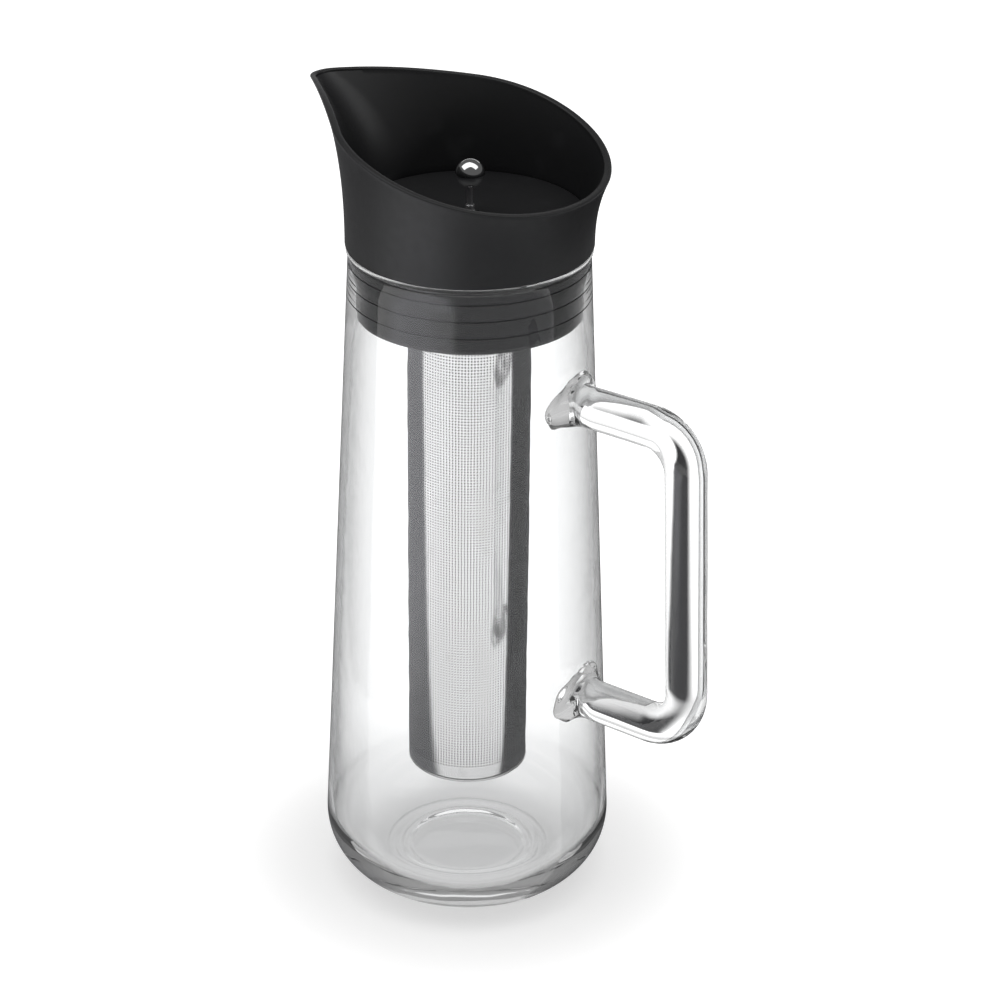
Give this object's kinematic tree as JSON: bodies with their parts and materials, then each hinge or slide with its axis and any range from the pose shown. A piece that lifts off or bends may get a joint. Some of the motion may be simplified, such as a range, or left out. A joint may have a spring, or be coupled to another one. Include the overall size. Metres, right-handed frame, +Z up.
{
  "type": "cold brew coffee maker",
  "caption": "Handled glass carafe with a black teardrop pouring collar plugged into its neck, a lift valve with a steel ball knob, and a hanging steel filter tube.",
  "frame": {"origin": "middle of the carafe's flat foot, on the table and on the carafe's axis", "axes": "+Z up along the carafe's axis, +X towards the handle, -X towards the spout, +Y to the side"},
  "size_m": [0.1748, 0.1028, 0.2911],
  "materials": {
    "glass": "clear borosilicate glass, fire-polished lip",
    "collar_plastic": "matte black moulded plastic, fine satin grain",
    "core_plastic": "satin black moulded plastic",
    "silicone": "dark grey silicone, soft sheen",
    "polished_steel": "mirror-polished stainless steel",
    "satin_steel": "satin stainless steel sheet with micro-perforation",
    "bush_plastic": "off-white low-friction plastic"
  },
  "bodies": {
    "carafe": {"carafe_body": "glass", "handle": "glass"},
    "pouring_lid": {"pouring_collar": "collar_plastic", "neck_core": "core_plastic", "filter_socket": "core_plastic", "neck_seal": "silicone", "guide_bush": "bush_plastic", "filter_grip_ring": "silicone"},
    "valve": {"valve_disc": "collar_plastic", "valve_seal": "silicone", "stem_grommet": "silicone", "valve_stem": "polished_steel", "ball_knob": "polished_steel", "stem_ferrule": "polished_steel", "clamp_washer": "polished_steel", "clamp_nut": "polished_steel", "stop_washer": "polished_steel", "stop_nut": "polished_steel"},
    "filter": {"filter_tube": "satin_steel", "filter_rim": "satin_steel", "filter_base": "satin_steel"}
  },
  "joints": [
    {"name": "lid_lift", "type": "slide", "parent": "carafe", "child": "pouring_lid", "axis": [0, 0, 1], "range_m": [0, 0.215]},
    {"name": "valve_lift", "type": "slide", "parent": "pouring_lid", "child": "valve", "axis": [0, 0, 1], "range_m": [0, 0.008]},
    {"name": "filter_pull", "type": "slide", "parent": "pouring_lid", "child": "filter", "axis": [0, 0, -1], "range_m": [0, 0.03]}
  ]
}
